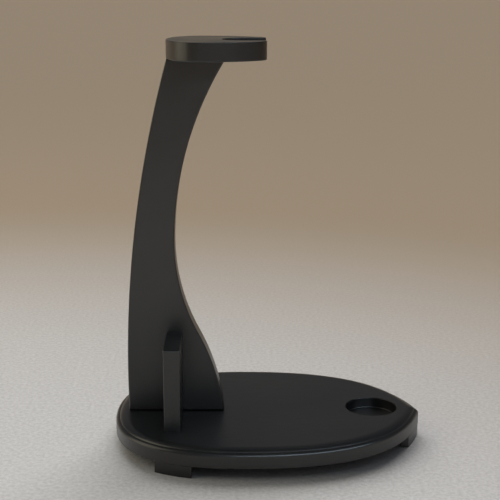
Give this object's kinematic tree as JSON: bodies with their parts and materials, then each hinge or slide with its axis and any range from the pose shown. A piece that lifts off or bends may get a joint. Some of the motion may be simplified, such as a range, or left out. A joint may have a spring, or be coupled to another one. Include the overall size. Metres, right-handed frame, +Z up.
{
  "type": "headphone stand",
  "caption": "Black painted desk stand: pointed-oval base with a round recess, curved upright, side braces and an oval top plate with a U-shaped slot.",
  "frame": {"origin": "on the floor, under the middle of the base board's length and width", "axes": "+X towards the pointed tip of the base, +Z up, -Y and +Y the two long sides of the base"},
  "size_m": [0.225, 0.17, 0.292],
  "materials": {
    "black_paint": "satin black paint on board",
    "screw_steel": "bright zinc-plated steel",
    "beech": "bare beech"
  },
  "bodies": {
    "root": {"base_board": "black_paint", "upright": "black_paint", "top_plate": "black_paint", "near_brace": "black_paint", "far_brace": "black_paint", "front_foot": "black_paint", "near_rear_foot": "black_paint", "far_rear_foot": "black_paint", "upright_screw_1": "screw_steel", "upright_screw_2": "screw_steel", "upright_screw_3": "screw_steel", "near_brace_screw_1": "screw_steel", "near_brace_screw_2": "screw_steel", "far_brace_screw_1": "screw_steel", "far_brace_screw_2": "screw_steel", "near_foot_screw_1": "screw_steel", "near_foot_screw_2": "screw_steel", "far_foot_screw_1": "screw_steel", "far_foot_screw_2": "screw_steel", "front_foot_screw_near": "screw_steel", "front_foot_screw_far": "screw_steel", "plate_dowel_1": "beech", "plate_dowel_2": "beech", "brace_dowel_1": "beech", "brace_dowel_2": "beech"}
  },
  "joints": []
}
